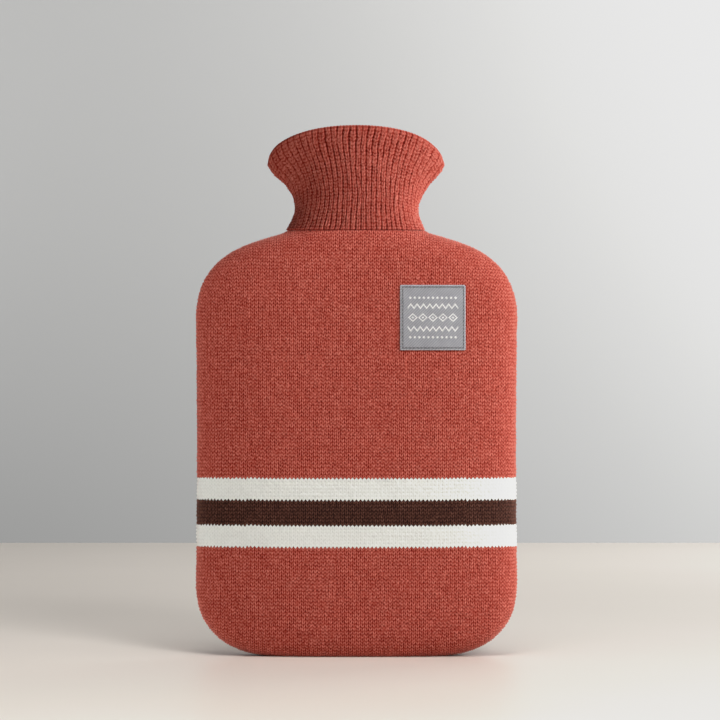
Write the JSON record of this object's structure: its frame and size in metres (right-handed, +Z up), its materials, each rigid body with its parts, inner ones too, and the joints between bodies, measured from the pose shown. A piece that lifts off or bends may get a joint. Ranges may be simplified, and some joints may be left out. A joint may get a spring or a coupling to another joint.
{
  "type": "hot water bottle cover",
  "caption": "Knitted cover for a hot water bottle, standing filled out and hollow, with a ribbed flared neck, colour bands across the front and back, and a woven label.",
  "frame": {"origin": "bottom centre: on the surface under the middle of the flat base", "axes": "+Z up from the base to the neck, +X to the right across the front, and the front with the label faces -Y"},
  "size_m": [0.2, 0.0588, 0.3313],
  "materials": {
    "body_knit": "plain knit in red yarn with white and brown bands",
    "collar_knit": "ribbed knit in red yarn",
    "label_weave": "fine grey twill"
  },
  "bodies": {
    "root": {"front_panel": "body_knit", "back_panel": "body_knit", "collar": "collar_knit", "label": "label_weave"}
  },
  "joints": []
}
